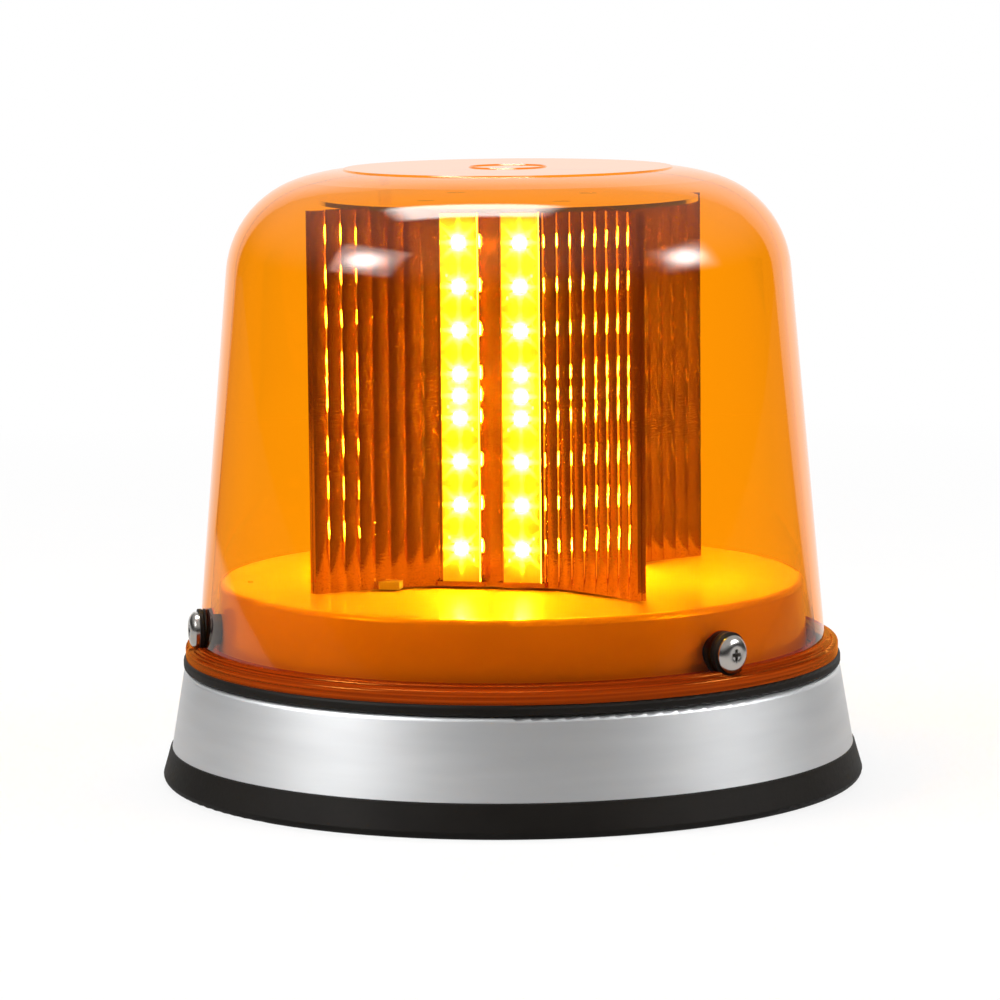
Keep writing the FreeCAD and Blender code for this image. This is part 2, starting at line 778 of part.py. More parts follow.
def make_motor():
    """Can motor, shaft down, with a nose that centres it in the bracket."""
    top = bracket_top + motor_length
    edge = motor_edge_round
    can = lathe([
        (0, bracket_bottom), (motor_nose_radius, bracket_bottom), (motor_nose_radius, bracket_top),
        (motor_radius, bracket_top), (motor_radius, top - edge),
        arc(motor_radius - edge, top - edge, edge, 0, 90), (0, top)])
    bore = rod(motor_shaft_radius + running_gap, bracket_bottom,
               bracket_bottom + motor_bearing_depth)
    holes = [rod(motor_screw_radius, bracket_top, bracket_top + motor_hole_depth,
                 0, side * motor_screw_circle) for side in (-1, 1)]
    return at_motor(can.cut([bore] + holes))


def make_motor_shaft():
    """The motor's output shaft."""
    low = gear_bottom - 2 * loose_gap
    high = bracket_bottom + motor_bearing_depth - loose_gap
    return at_motor(rod(motor_shaft_radius, low, high))


def make_bracket():
    """Steel strap that carries the motor between two pillars."""
    half = 0.5 * pillar_spacing
    end = pillar_radius + bracket_margin
    waist = 0.5 * bracket_width
    strap = prism([
        (-end, -half), (0, -half - end, end, -half), (waist, -0.5 * half), (waist, 0.5 * half),
        (end, half), (0, half + end, -end, half), (-waist, 0.5 * half), (-waist, -0.5 * half)],
        bracket_bottom, bracket_top)
    cuts = [rod(motor_nose_radius + seat_gap, bracket_bottom, bracket_top)]
    for side in (-1, 1):
        cuts.append(rod(motor_screw_radius + seat_gap, bracket_bottom, bracket_top,
                        0, side * motor_screw_circle))
        cuts.append(rod(motor_screw_radius + seat_gap, bracket_bottom, bracket_top, 0, side * half))
    return at_motor(strap.cut(cuts))


def make_bracket_screws():
    """Two screws into the motor and two into the deck's pillars."""
    shank = bracket_thickness + motor_screw_grip
    screw = pan_screw(motor_screw_head, motor_screw_head_height, motor_screw_radius, shank)
    screw.rotate(ORIGIN, FreeCAD.Vector(1, 0, 0), 180)
    screws = []
    for place in (motor_screw_circle, 0.5 * pillar_spacing):
        for side in (-1, 1):
            copy = screw.copy()
            copy.translate(FreeCAD.Vector(0, side * place, bracket_bottom))
            screws.append(at_motor(copy))
    return screws


def make_bearing(flange_low, body_low, body_high):
    """Flanged bronze bush in the deck's hub."""
    flange = tube(bearing_radius + bearing_flange_width, spindle_radius + running_gap,
                  flange_low, flange_low + bearing_flange)
    body = tube(bearing_radius - seat_gap, spindle_radius + running_gap, body_low, body_high)
    return joined([flange, body])


def make_spindle():
    """Hollow steel spindle that carries the head."""
    return tube(spindle_radius, spindle_bore, spindle_bottom, spindle_top)


def make_clip():
    """Retaining ring under the lower bush, open on one side."""
    ring = tube(spindle_radius + clip_width, spindle_radius, clip_bottom, clip_top)
    half = 0.5 * clip_opening
    return ring.cut(block(0, 2 * spindle_radius, -half, half, clip_bottom, clip_top))


def make_sleeve():
    """Insulating sleeve under the gear that carries the slip rings."""
    return tube(spindle_radius + sleeve_wall, spindle_radius, sleeve_bottom, sleeve_top)


def slip_ring_levels():
    """The bottom of each slip ring."""
    first = sleeve_bottom + slip_ring_margin
    return [first, first + slip_ring_pitch]


def make_slip_rings():
    """Two copper rings on the sleeve."""
    return [tube(slip_ring_radius, spindle_radius + sleeve_wall, low, low + slip_ring_height)
            for low in slip_ring_levels()]


def brush_levels():
    """The bottom of each brush, centred on its ring."""
    return [low + 0.5 * (slip_ring_height - brush_height) for low in slip_ring_levels()]


def make_brushes():
    """Two carbon brushes, hollowed to the rings they run on."""
    start = slip_ring_radius - overlap
    end = slip_ring_radius + running_gap + brush_length
    ring = rod(slip_ring_radius + running_gap, sleeve_bottom, sleeve_top)
    half = 0.5 * brush_width
    return [block(start, end, -half, half, low, low + brush_height).cut(ring)
            for low in brush_levels()]


def make_brush_holder():
    """Moulded holder on the board, slotted for the two brushes."""
    start = slip_ring_radius + brush_holder_gap
    half = 0.5 * brush_holder_width
    body = block(start, start + brush_holder_length, -half, half, board_top, sleeve_top - loose_gap)
    slot = 0.5 * brush_width + seat_gap
    cuts = [block(start, slip_ring_radius + running_gap + brush_length, -slot, slot,
                  low - seat_gap, low + brush_height + seat_gap) for low in brush_levels()]
    return body.cut(cuts)


# ------------------------------------------------------------------ driver board
def make_board():
    """Round driver board on the base plate's standoffs."""
    board = tube(board_radius, board_hole_radius, board_bottom, board_top)
    hole = rod(board_screw_radius + seat_gap, board_bottom, board_top, board_hole_circle, 0)
    return board.cut([turned(hole, angle) for angle in column_angles])


def make_board_screws():
    """Three pan head screws that hold the board."""
    screw = pan_screw(board_screw_head, board_screw_head_height, board_screw_radius - seat_gap,
                      board_thickness + standoff_height)
    screw.translate(FreeCAD.Vector(board_hole_circle, 0, board_top))
    return [turned(screw, angle) for angle in column_angles]


def make_capacitors():
    """Two round electrolytic capacitors."""
    crimp = capacitor_crimp
    low = board_top
    groove = low + capacitor_crimp_height
    can = lathe([
        (0, low), (capacitor_radius, low), (capacitor_radius, groove - crimp),
        (capacitor_radius - crimp, groove), (capacitor_radius, groove + crimp),
        (capacitor_radius, low + capacitor_height - crimp),
        (capacitor_radius - crimp, low + capacitor_height), (0, low + capacitor_height)])
    can.translate(FreeCAD.Vector(board_parts_radius, 0, 0))
    return [turned(can, angle) for angle in capacitor_turns]


def make_choke():
    """Wound drum choke."""
    low = board_top
    high = low + choke_height
    drum = lathe([
        (0, low), (choke_radius, low), (choke_radius, low + choke_cheek),
        (choke_waist, low + choke_cheek), (choke_waist, high - choke_cheek),
        (choke_radius, high - choke_cheek), (choke_radius, high), (0, high)])
    drum.translate(FreeCAD.Vector(board_parts_radius, 0, 0))
    return turned(drum, choke_turn)


def make_terminal_block():
    """Screw terminal for the supply cable, with two wire entries and two screw wells."""
    low = board_top
    high = low + terminal_height
    half = 0.5 * terminal_length
    near = board_parts_radius - 0.5 * terminal_depth
    body = block(near, near + terminal_depth, -half, half, low, high)
    cuts = []
    wide = 0.5 * terminal_entry
    sill = low + terminal_entry_sill
    for place in (-0.25 * terminal_length, 0.25 * terminal_length):
        cuts.append(rod(terminal_well_radius, high - terminal_well_depth, high,
                        board_parts_radius, place))
        cuts.append(block(near, near + terminal_entry_depth, place - wide, place + wide,
                          sill, sill + terminal_entry))
    return turned(body.cut(cuts), terminal_turn)


def make_chips():
    """Three flat power packages."""
    half = 0.5 * chip_size
    chip = block(board_parts_radius - half, board_parts_radius + half, -half, half,
                 board_top, board_top + chip_height)
    return [turned(chip, angle) for angle in chip_turns]


# ------------------------------------------------------------------ optical head
def wing_slope(place):
    """Slope of the trough's curve at a distance from its centre line."""
    share = (place - trough_flat) / wing_reach
    return wing_start_slope + (1.0 - wing_start_slope) * share


def wing_distance(place):
    """Distance from the axis to the trough's curve at a distance from its centre line."""
    along = place - trough_flat
    return bed_distance + 0.5 * (wing_start_slope + wing_slope(place)) * along


def behind(place, offset):
    """A point behind the trough's curve, at a right angle to it."""
    slope = wing_slope(place)
    length = math.hypot(1.0, slope)
    return place + offset * slope / length, wing_distance(place) - offset / length


def flute_edges():
    """The places where one flute meets the next, equally spaced along the curve."""
    count = 400
    places = [trough_flat + wing_reach * index / count for index in range(count + 1)]
    lengths = [0.0]
    for low, high in zip(places, places[1:]):
        lengths.append(lengths[-1] + math.hypot(high - low, wing_distance(high) - wing_distance(low)))
    edges = []
    for flute in range(flute_count + 1):
        target = lengths[-1] * flute / flute_count
        nearest = min(range(count + 1), key=lambda index: abs(lengths[index] - target))
        edges.append(places[nearest])
    return edges


def fluted_wing():
    """The wing's front as arc steps that bulge outwards, from the flat bed to the corner."""
    places = flute_edges()
    steps = []
    for low, high in zip(places, places[1:]):
        start = (low, wing_distance(low))
        end = (high, wing_distance(high))
        length = math.dist(start, end)
        across = (start[1] - end[1]) / length
        out = (end[0] - start[0]) / length
        middle = (0.5 * (start[0] + end[0]) + flute_rise * across,
                  0.5 * (start[1] + end[1]) + flute_rise * out)
        steps.append(middle + end)
    return steps


def mirrored(steps, start):
    """Arc steps run backwards on the other side of the centre line, and the point they start at."""
    ends = [start] + [step[2:] for step in steps]
    back = []
    for index in range(len(steps) - 1, -1, -1):
        middle = steps[index][:2]
        end = ends[index]
        back.append((-middle[0], middle[1], -end[0], end[1]))
    return (-ends[-1][0], ends[-1][1]), back


def make_reflector():
    """A trough reflector that faces -Y: two fluted wings, a bed with two windows and a ridge."""
    wing = fluted_wing()
    bed_edge = (trough_flat, bed_distance)
    left_start, left_steps = mirrored(wing, bed_edge)
    bend = 0.5 * math.atan(wing_start_slope)
    back_edge = (trough_flat + reflector_wall * math.tan(bend), sink_face)
    back_middle = behind(trough_flat + 0.5 * wing_reach, reflector_wall)
    back_end = behind(trough_half, reflector_wall)
    steps = [left_start] + left_steps + [bed_edge] + wing + [back_end]
    steps += [back_middle + back_edge, (-back_edge[0], back_edge[1])]
    steps += [(-back_middle[0], back_middle[1], -back_end[0], back_end[1])]
    facing = [tuple(value * (-1) ** index for index, value in enumerate(step)) for step in steps]
    wall = prism(facing, head_bottom, reflector_top)

    bed = -bed_distance
    half = 0.5 * ridge_width
    ridge = prism([(-half, bed + 0.5 * reflector_wall), (half, bed + 0.5 * reflector_wall),
                   (half, bed), (0, bed - ridge_height), (-half, bed)],
                  led_board_bottom, led_board_top)
    solids = [wall, ridge]
    cuts = []
    for centre in board_centres():
        solids.append(block(centre - 0.5 * ledge_width, centre + 0.5 * ledge_width,
                            bed - ledge_proud, bed + 0.5 * reflector_wall, head_bottom, led_board_bottom))
        reach = 0.5 * led_board_width + 2 * seat_gap
        cuts.append(block(centre - reach, centre + reach, bed - overlap, bed + 2 * reflector_wall,
                          led_board_bottom, led_board_top + 2 * seat_gap))
    cuts.append(tab_block(seat_gap))
    return joined(solids).cut(cuts)


def board_centres():
    """The centre lines of the two LED boards of a side."""
    return [-0.5 * led_board_spacing, 0.5 * led_board_spacing]


def tab_block(gap):
    """The space of a locating tab in the foot of the left wing, with a gap around it."""
    half = 0.5 * tab_width
    reach = wing_distance(tab_place + half) + tab_proud
    return block(-tab_place - half - gap, -tab_place + half + gap,
                 -reach, -wing_distance(tab_place - half) + 2 * reflector_wall,
                 head_bottom, head_bottom + tab_height + gap)


def make_reflector_clip():
    """Steel tab that holds the left wing's foot against the turntable."""
    return tab_block(0).cut(prism(star_steps(seat_gap, turntable_share), head_bottom, turntable_top))


def make_led_board(centre):
    """One LED board of the side that faces -Y, seated on the heat sink."""
    half = 0.5 * led_board_width
    return block(centre - half, centre + half, -sink_face - led_board_thickness, -sink_face,
                 led_board_bottom, led_board_top)


def led_levels():
    """Heights of the LEDs: equal steps, and one more in the middle."""
    low = led_board_bottom + led_end_margin
    high = led_board_top - led_end_margin
    step = (high - low) / (led_rows - 1)
    return [low + index * step for index in range(led_rows)] + [0.5 * (low + high)]


def make_leds():
    """The LEDs of the side that faces -Y: a square body with a low lens each."""
    face = -sink_face - led_board_thickness
    half = 0.5 * led_size
    wide = 0.5 * lens_size
    narrow = 0.5 * wide
    leds = []
    for centre in board_centres():
        for level in led_levels():
            body = block(centre - half, centre + half, face - led_height, face,
                         level - half, level + half)
            lens = Part.makeWedge(-wide, -lens_height, -wide, -narrow, -narrow,
                                  wide, 0, wide, narrow, narrow)
            lens.translate(FreeCAD.Vector(centre, face - led_height, level))
            leds.append(body.fuse(lens))
    return leds


def star_steps(offset, share):
    """Outline of the star-shaped space behind the four troughs, out to a share of each wing."""
    middle = behind(trough_flat + 0.5 * share * wing_reach, reflector_wall + offset)
    reach = behind(trough_flat + share * wing_reach, reflector_wall + offset)
    flat = (trough_flat, sink_face - offset)
    steps = []
    for index in range(side_count):
        turn = math.radians(index * side_step)

        def placed(x, distance):
            return (x * math.cos(turn) + distance * math.sin(turn),
                    x * math.sin(turn) - distance * math.cos(turn))

        steps.append(placed(-reach[0], reach[1]))
        steps.append(placed(-middle[0], middle[1]) + placed(-flat[0], flat[1]))
        steps.append(placed(*flat))
        steps.append(placed(*middle) + placed(*reach))
    return steps


def port_places():
    """Angles of the screw ports, on the star's diagonals."""
    return [-45.0 + index * side_step for index in range(side_count)]


def make_turntable():
    """Star-shaped carrier plate with a hub on the spindle."""
    plate = prism(star_steps(2 * seat_gap, turntable_share), head_bottom, turntable_top)
    hub = rod(turntable_hub_radius, head_bottom, spindle_top)
    turntable = joined([plate, hub])
    cuts = [rod(spindle_radius, head_bottom, spindle_top)]
    countersink = flat_screw(head_screw_head + seat_gap, head_screw_radius + seat_gap,
                             turntable_thickness)
    countersink.translate(FreeCAD.Vector(port_circle_radius, 0, head_bottom))
    cuts += [turned(countersink, angle) for angle in port_places()]
    cuts.append(set_screw(0, turntable_hub_radius + overlap))
    return turntable.cut(cuts)


def set_screw(start, end):
    """A radial cylinder at the height of the grub screw in the turntable's hub."""
    place = FreeCAD.Vector(start, 0, turntable_top + 0.5 * turntable_hub_height)
    return Part.makeCylinder(set_screw_radius, end - start, place, FreeCAD.Vector(1, 0, 0))


def make_set_screw():
    """Grub screw that locks the turntable to the spindle."""
    return set_screw(spindle_radius, turntable_hub_radius)


def make_heat_sink():
    """Extruded square tube with screw ports in its corners and a fin on each diagonal."""
    outer = sink_face
    inner = sink_face - sink_wall
    low = turntable_top
    high = reflector_top
    tube_shape = block(-outer, outer, -outer, outer, low, high).cut(
        block(-inner, inner, -inner, inner, low, high))
    solids = [tube_shape]
    tip = math.hypot(*behind(trough_flat + turntable_share * wing_reach, reflector_wall))
    tip -= sink_fin_tip_gap
    half = 0.5 * sink_fin
    for angle in port_places():
        fin = block(port_circle_radius, tip, -half, half, low, high)
        solids.append(turned(fin, angle))
        solids.append(turned(rod(port_radius, low, high, port_circle_radius, 0), angle))
    sink = joined(solids)
    hole = rod(port_hole_radius, low, high, port_circle_radius, 0)
    return sink.cut([turned(hole, angle) for angle in port_places()])


def make_top_plate():
    """Thin round plate that ties the tops of the reflectors together, countersunk for its screws."""
    plate = rod(top_plate_radius, reflector_top, head_top)
    countersink = top_screw(head_screw_head + seat_gap, head_screw_radius + seat_gap,
                            top_plate_thickness)
    return plate.cut([turned(countersink, angle) for angle in port_places()])


def top_screw(head_radius, radius, length):
    """A countersunk screw in its place in the top plate, its shank pointing down."""
    screw = flat_screw(head_radius, radius, length)
    screw.rotate(ORIGIN, FreeCAD.Vector(1, 0, 0), 180)
    screw.translate(FreeCAD.Vector(port_circle_radius, 0, head_top))
    return screw


def make_top_screws():
    """Countersunk screws through the top plate into the heat sink's ports."""
    screw = top_screw(head_screw_head, head_screw_radius, head_screw_length)
    return [turned(screw, angle) for angle in port_places()]


def make_turntable_screws():
    """Countersunk screws through the turntable into the heat sink's ports."""
    screw = flat_screw(head_screw_head, head_screw_radius, head_screw_length)
    screw.translate(FreeCAD.Vector(port_circle_radius, 0, head_bottom))
    return [turned(screw, angle) for angle in port_places()]


# ------------------------------------------------------------------ assembly
def make_parts():
    """Every sub-part by its node name, in its place."""
    deck = make_deck()
    low_flange = hub_bottom - bearing_flange
    parts = {
        "foot_gasket": make_foot(),
        "base_ring": make_base_ring(),
        "base_plate": make_base_plate(),
        "cable_grommet": make_grommet(),
        "deck_screws": make_deck_screws(),
        "dome_gasket": make_gasket(),
        "dome": make_dome(),
        "dome_screws": make_dome_screws(),
        "dome_screw_bushes": make_bushes(deck),
        "dome_screw_inserts": make_inserts(),
        "deck": deck,
        "upper_bearing": make_bearing(deck_top - bearing_flange, deck_top - bearing_length, deck_top),
        "lower_bearing": make_bearing(low_flange, low_flange, low_flange + bearing_length),
        "thrust_washer": tube(bearing_radius, spindle_radius + running_gap,
                              deck_top, deck_top + washer_thickness),
        "motor": make_motor(),
        "motor_bracket": make_bracket(),
        "motor_bracket_screws": make_bracket_screws(),
        "driver_board": make_board(),
        "driver_board_screws": make_board_screws(),
        "capacitors": make_capacitors(),
        "choke": make_choke(),
        "terminal_block": make_terminal_block(),
        "driver_chips": make_chips(),
        "brush_holder": make_brush_holder(),
        "brushes": make_brushes(),
        "motor_shaft": make_motor_shaft(),
        "motor_pinion": make_pinion(),
        "spindle": make_spindle(),
        "drive_gear": make_gear(),
        "spindle_clip": make_clip(),
        "slip_ring_sleeve": make_sleeve(),
        "slip_rings": make_slip_rings(),
    }
    reflector = make_reflector()
    leds = make_leds()
    head = {
        "turntable": make_turntable(),
        "turntable_set_screw": make_set_screw(),
        "turntable_screws": make_turntable_screws(),
        "heat_sink": make_heat_sink(),
        "top_plate": make_top_plate(),
        "top_plate_screws": make_top_screws(),
    }
    head["reflector_clips"] = around(make_reflector_clip(), side_count)
    for side in range(side_count):
        turn = side * side_step
        number = str(side + 1)
        head["reflector_" + number] = turned(reflector, turn)
        for name, centre in zip(("left", "right"), board_centres()):
            head["led_board_" + number + "_" + name] = turned(make_led_board(centre), turn)
        head["leds_" + number] = [turned(led, turn) for led in leds]
    for name, shape in head.items():
        solids = shape if isinstance(shape, list) else [shape]
        placed = [turned(solid, head_turn) for solid in solids]
        parts[name] = placed if isinstance(shape, list) else placed[0]
    return parts


def main():
    """Write one STEP file for each sub-part."""
    os.makedirs("parts", exist_ok=True)
    for name, shape in make_parts().items():
        whole = Part.makeCompound(shape) if isinstance(shape, list) else shape
        whole.exportStep(os.path.join("parts", name + ".step"))


main()
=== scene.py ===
import math

import bmesh
import bpy
from mathutils import Matrix, Vector


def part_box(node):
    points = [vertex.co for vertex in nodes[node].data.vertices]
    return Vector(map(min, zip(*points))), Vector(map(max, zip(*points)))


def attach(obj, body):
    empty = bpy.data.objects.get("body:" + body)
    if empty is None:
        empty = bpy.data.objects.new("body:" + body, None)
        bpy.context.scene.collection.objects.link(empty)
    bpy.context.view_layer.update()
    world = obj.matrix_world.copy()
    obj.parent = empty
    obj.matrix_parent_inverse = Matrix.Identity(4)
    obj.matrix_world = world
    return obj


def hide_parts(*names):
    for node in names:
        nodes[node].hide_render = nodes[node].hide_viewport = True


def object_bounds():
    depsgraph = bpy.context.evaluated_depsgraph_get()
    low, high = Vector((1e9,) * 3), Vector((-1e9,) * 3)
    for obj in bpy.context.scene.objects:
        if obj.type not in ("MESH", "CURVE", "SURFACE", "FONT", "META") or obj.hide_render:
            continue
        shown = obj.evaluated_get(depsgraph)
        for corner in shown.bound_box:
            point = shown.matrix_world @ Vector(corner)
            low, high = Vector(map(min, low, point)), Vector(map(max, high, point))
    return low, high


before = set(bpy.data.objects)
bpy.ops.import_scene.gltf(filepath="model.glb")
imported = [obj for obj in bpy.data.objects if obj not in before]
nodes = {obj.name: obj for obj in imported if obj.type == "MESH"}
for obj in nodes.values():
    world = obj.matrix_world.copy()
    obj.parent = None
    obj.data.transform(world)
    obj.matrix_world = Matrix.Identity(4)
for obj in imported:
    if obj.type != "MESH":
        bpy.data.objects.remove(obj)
cad_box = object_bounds()

MM = 0.001

# ------------------------------------------------------------------ measures of the head
side_names = ["1", "2", "3", "4"]
board_size = (10.0 * MM, 1.4 * MM)      # width and thickness of an LED board
led_rows = 8                            # evenly spaced, with one more LED halfway
led_end_margin = 8.8 * MM
led_package = 3.2 * MM
led_package_height = 0.7 * MM
led_package_edge = 0.18 * MM
led_lens = 2.5 * MM
led_lens_height = 0.10 * MM
led_lens_sink = 0.02 * MM               # how far the lens starts inside its package
pad_place = (2.3 * MM, 1.1 * MM)        # solder pads, across and along from their LED
pad_size = (0.7 * MM, 0.06 * MM, 0.5 * MM)
resistor_place = (3.4 * MM, -3.0 * MM)  # small parts beside every third LED
resistor_size = (0.55 * MM, 0.40 * MM, 1.0 * MM)
diode_place = (-3.2 * MM, 2.9 * MM)
diode_size = (0.6 * MM, 0.40 * MM, 0.9 * MM)
small_part_edge = 0.06 * MM
small_part_step = 3

# ------------------------------------------------------------------ measures of the looks
coat_roughness = 0.09
amber_tint = (1.03, 0.565, 0.012, 1.0)  # what one pass through the dome leaves of the light
dome_core_height = 60.0 * MM            # the dome's outer skin faces away from this point
flange_top = 38.2 * MM
flange_cloud_share = 0.7
haze_share = 0.065
# The LED boards' own light is painted on them as emission: a glare that only the camera sees, a wash of
# light fading from each LED and an even glow.
glare_radius = 1.75                     # in millimetres, as the glow's UV layer is
glare_strength = 60.0
ray_length = 1.5
ray_turns = 4.0                         # half as many turns as there are rays
ray_sharpness = 6.0
painted_wash_length = 3.0
painted_wash_strength = 0.75
board_glow = 0.12


# ------------------------------------------------------------------ node trees
class Net:
    """A shader node tree, with short ways to add nodes and join them."""

    def __init__(self, owner):
        owner.use_nodes = True
        self.tree = owner.node_tree
        self.tree.nodes.clear()

    def add(self, kind, settings=None, **values):
        node = self.tree.nodes.new(kind)
        for key, value in (settings or {}).items():
            setattr(node, key, value)
        for key, value in values.items():
            self.put(node.inputs[key.replace("_", " ")], value)
        return node

    def put(self, socket, value):
        if isinstance(value, bpy.types.NodeSocket):
            self.tree.links.new(value, socket)
        else:
            socket.default_value = value

    def math(self, operation, *values, clamp=False):
        node = self.tree.nodes.new("ShaderNodeMath")
        node.operation = operation
        node.use_clamp = clamp
        for socket, value in zip(node.inputs, values):
            self.put(socket, value)
        return node.outputs[0]

    def place(self):
        return self.add("ShaderNodeTexCoord").outputs["Object"]

    def noise(self, vector, scale, detail=2.0, roughness=0.5):
        node = self.add("ShaderNodeTexNoise", Vector=vector, Scale=scale, Detail=detail,
                        Roughness=roughness)
        return node.outputs["Fac"]

    def ramp(self, factor, *stops):
        node = self.add("ShaderNodeValToRGB", Fac=factor)
        ramp = node.color_ramp
        while len(ramp.elements) < len(stops):
            ramp.elements.new(0.5)
        for element, (position, colour) in zip(ramp.elements, stops):
            element.position = position
            element.color = (*colour, 1.0)
        return node.outputs["Color"]

    def spread(self, factor, low, high):
        node = self.add("ShaderNodeMapRange", Value=factor)
        node.inputs["To Min"].default_value = low
        node.inputs["To Max"].default_value = high
        return node.outputs["Result"]

    def bump(self, height, distance, strength=1.0):
        node = self.add("ShaderNodeBump", Height=height, Strength=strength, Distance=distance)
        return node.outputs["Normal"]

    def round_about(self, along, up):
        """Coordinates that run round the object's axis and up it, for turned surfaces."""
        split = self.add("ShaderNodeSeparateXYZ", Vector=self.place())
        angle = self.math("ARCTAN2", split.outputs["Y"], split.outputs["X"])
        joined = self.add("ShaderNodeCombineXYZ")
        self.put(joined.inputs["X"], self.math("MULTIPLY", angle, along))
        self.put(joined.inputs["Z"], self.math("MULTIPLY", split.outputs["Z"], up))
        return joined.outputs["Vector"]

    def end(self, shader, kind="ShaderNodeOutputMaterial"):
        out = self.tree.nodes.new(kind)
        self.put(out.inputs["Surface"], shader)


def new_net(name):
    made = bpy.data.materials.new(name)
    return made, Net(made)


# ------------------------------------------------------------------ materials
def plain_solid(name, dark, light, roughness, metallic=0.0, grain=400.0, relief=0.00002, spread=0.08,
                shine=0.5, coat=0.0):
    """A material of one colour that varies a little, with a fine grain in its surface."""
    made, net = new_net(name)
    place = net.place()
    broad = net.noise(place, 30.0, 3.0)
    fine = net.noise(place, grain, 3.0, 0.6)
    shader = net.add("ShaderNodeBsdfPrincipled", Metallic=metallic)
    net.put(shader.inputs["Base Color"], net.ramp(broad, (0.3, dark), (0.7, light)))
    net.put(shader.inputs["Roughness"], net.spread(fine, roughness - spread, roughness + spread))
    net.put(shader.inputs["Normal"], net.bump(fine, relief))
    shader.inputs["Specular IOR Level"].default_value = shine
    shader.inputs["Coat Weight"].default_value = coat
    shader.inputs["Coat Roughness"].default_value = coat_roughness
    net.end(shader.outputs[0])
    return made


def turned_metal(name, dark, light, roughness):
    """Aluminium turned on a lathe: fine lines that run round the axis."""
    made, net = new_net(name)
    lines = net.noise(net.round_about(1.5, 2600.0), 1.0, 4.0, 0.65)
    broad = net.noise(net.round_about(2.0, 160.0), 1.0, 2.0)
    speckle = net.noise(net.place(), 2500.0, 2.0)
    both = net.math("ADD", net.math("MULTIPLY", lines, 0.75), net.math("MULTIPLY", speckle, 0.25))
    shader = net.add("ShaderNodeBsdfPrincipled", Metallic=1.0)
    net.put(shader.inputs["Base Color"], net.ramp(broad, (0.3, dark), (0.7, light)))
    net.put(shader.inputs["Roughness"], net.spread(lines, roughness - 0.06, roughness + 0.08))
    net.put(shader.inputs["Normal"], net.bump(both, 0.00001, 0.6))
    net.end(shader.outputs[0])
    return made


def amber_clear(name):
    """Clear amber plastic: its outer skin tints what is behind it and mirrors more when seen
    edge on, and its inner skin only mirrors."""
    made, net = new_net(name)
    surface = net.add("ShaderNodeNewGeometry")
    front = net.math("SUBTRACT", 1.0, surface.outputs["Backfacing"])
    from_core = net.add("ShaderNodeVectorMath", {"operation": "SUBTRACT"})
    net.put(from_core.inputs[0], surface.outputs["Position"])
    from_core.inputs[1].default_value = (0.0, 0.0, dome_core_height)
    away = net.add("ShaderNodeVectorMath", {"operation": "DOT_PRODUCT"})
    net.put(away.inputs[0], from_core.outputs[0])
    net.put(away.inputs[1], surface.outputs["Normal"])
    leaving = net.math("GREATER_THAN", away.outputs["Value"], 0.0)
    outer = net.math("COMPARE", leaving, front, 0.5)
    tint = net.add("ShaderNodeMix", {"data_type": "RGBA"})
    net.put(tint.inputs[0], outer)
    tint.inputs[6].default_value = (1.0, 1.0, 1.0, 1.0)
    tint.inputs[7].default_value = amber_tint
    streaks = net.noise(net.round_about(7.0, 24.0), 1.0, 2.0)
    ripple = net.noise(net.place(), 55.0, 2.0)
    share = net.math("MULTIPLY", net.add("ShaderNodeFresnel", IOR=1.5).outputs[0], front, clamp=True)
    see = net.add("ShaderNodeBsdfTransparent", Color=tint.outputs[2])
    height = net.add("ShaderNodeSeparateXYZ", Vector=surface.outputs["Position"]).outputs["Z"]
    flange = net.math("LESS_THAN", height, flange_top)
    rings = net.noise(net.round_about(0.4, 1400.0), 1.0, 3.0, 0.6)
    cloud = net.add("ShaderNodeBsdfDiffuse", Color=net.ramp(rings, (0.35, (0.16, 0.012, 0.0006)),
                                                            (0.65, (0.46, 0.06, 0.004))))
    body = net.add("ShaderNodeMixShader", Fac=net.math("MULTIPLY", flange, flange_cloud_share))
    net.put(body.inputs[1], see.outputs[0])
    net.put(body.inputs[2], cloud.outputs[0])
    gleam = net.add("ShaderNodeMix", {"data_type": "RGBA"})
    net.put(gleam.inputs[0], flange)
    gleam.inputs[6].default_value = (1.0, 0.93, 0.88, 1.0)
    gleam.inputs[7].default_value = (0.85, 0.30, 0.05, 1.0)
    shine = net.add("ShaderNodeBsdfGlossy", Roughness=net.spread(streaks, 0.012, 0.03))
    net.put(shine.inputs["Color"], gleam.outputs[2])
    net.put(shine.inputs["Normal"], net.bump(ripple, 0.00004, 0.25))
    mixed = net.add("ShaderNodeMixShader", Fac=share)
    net.put(mixed.inputs[1], body.outputs[0])
    net.put(mixed.inputs[2], shine.outputs[0])
    net.end(mixed.outputs[0])
    return made


def mirror_film(name):
    """Metallised plastic with an amber lacquer: a mirror with a haze of fine rub marks."""
    made, net = new_net(name)
    place = net.place()
    worn = net.math("ADD", 0.2, net.math("POWER", net.noise(place, 70.0, 4.0, 0.6), 2.0))
    grit = net.noise(place, 2100.0, 2.0, 0.6)
    patches = net.noise(place, 90.0, 3.0)
    film = net.add("ShaderNodeBsdfPrincipled", Metallic=1.0)
    net.put(film.inputs["Base Color"], net.ramp(patches, (0.3, (0.84, 0.46, 0.26)),
                                                (0.7, (0.94, 0.57, 0.35))))
    net.put(film.inputs["Roughness"], net.spread(patches, 0.018, 0.04))
    net.put(film.inputs["Normal"], net.bump(net.math("MULTIPLY", worn, grit), 0.00003, 1.0))
    haze = net.add("ShaderNodeBsdfDiffuse")
    haze.inputs["Color"].default_value = (0.62, 0.20, 0.04, 1.0)
    speckle = net.math("POWER", net.math("MULTIPLY", grit, 1.6, clamp=True), 16.0)
    share = net.math("ADD", haze_share, net.math("MULTIPLY", speckle, net.math("MULTIPLY", worn, 0.55)))
    mixed = net.add("ShaderNodeMixShader", Fac=share)
    net.put(mixed.inputs[1], film.outputs[0])
    net.put(mixed.inputs[2], haze.outputs[0])
    net.end(mixed.outputs[0])
    return made


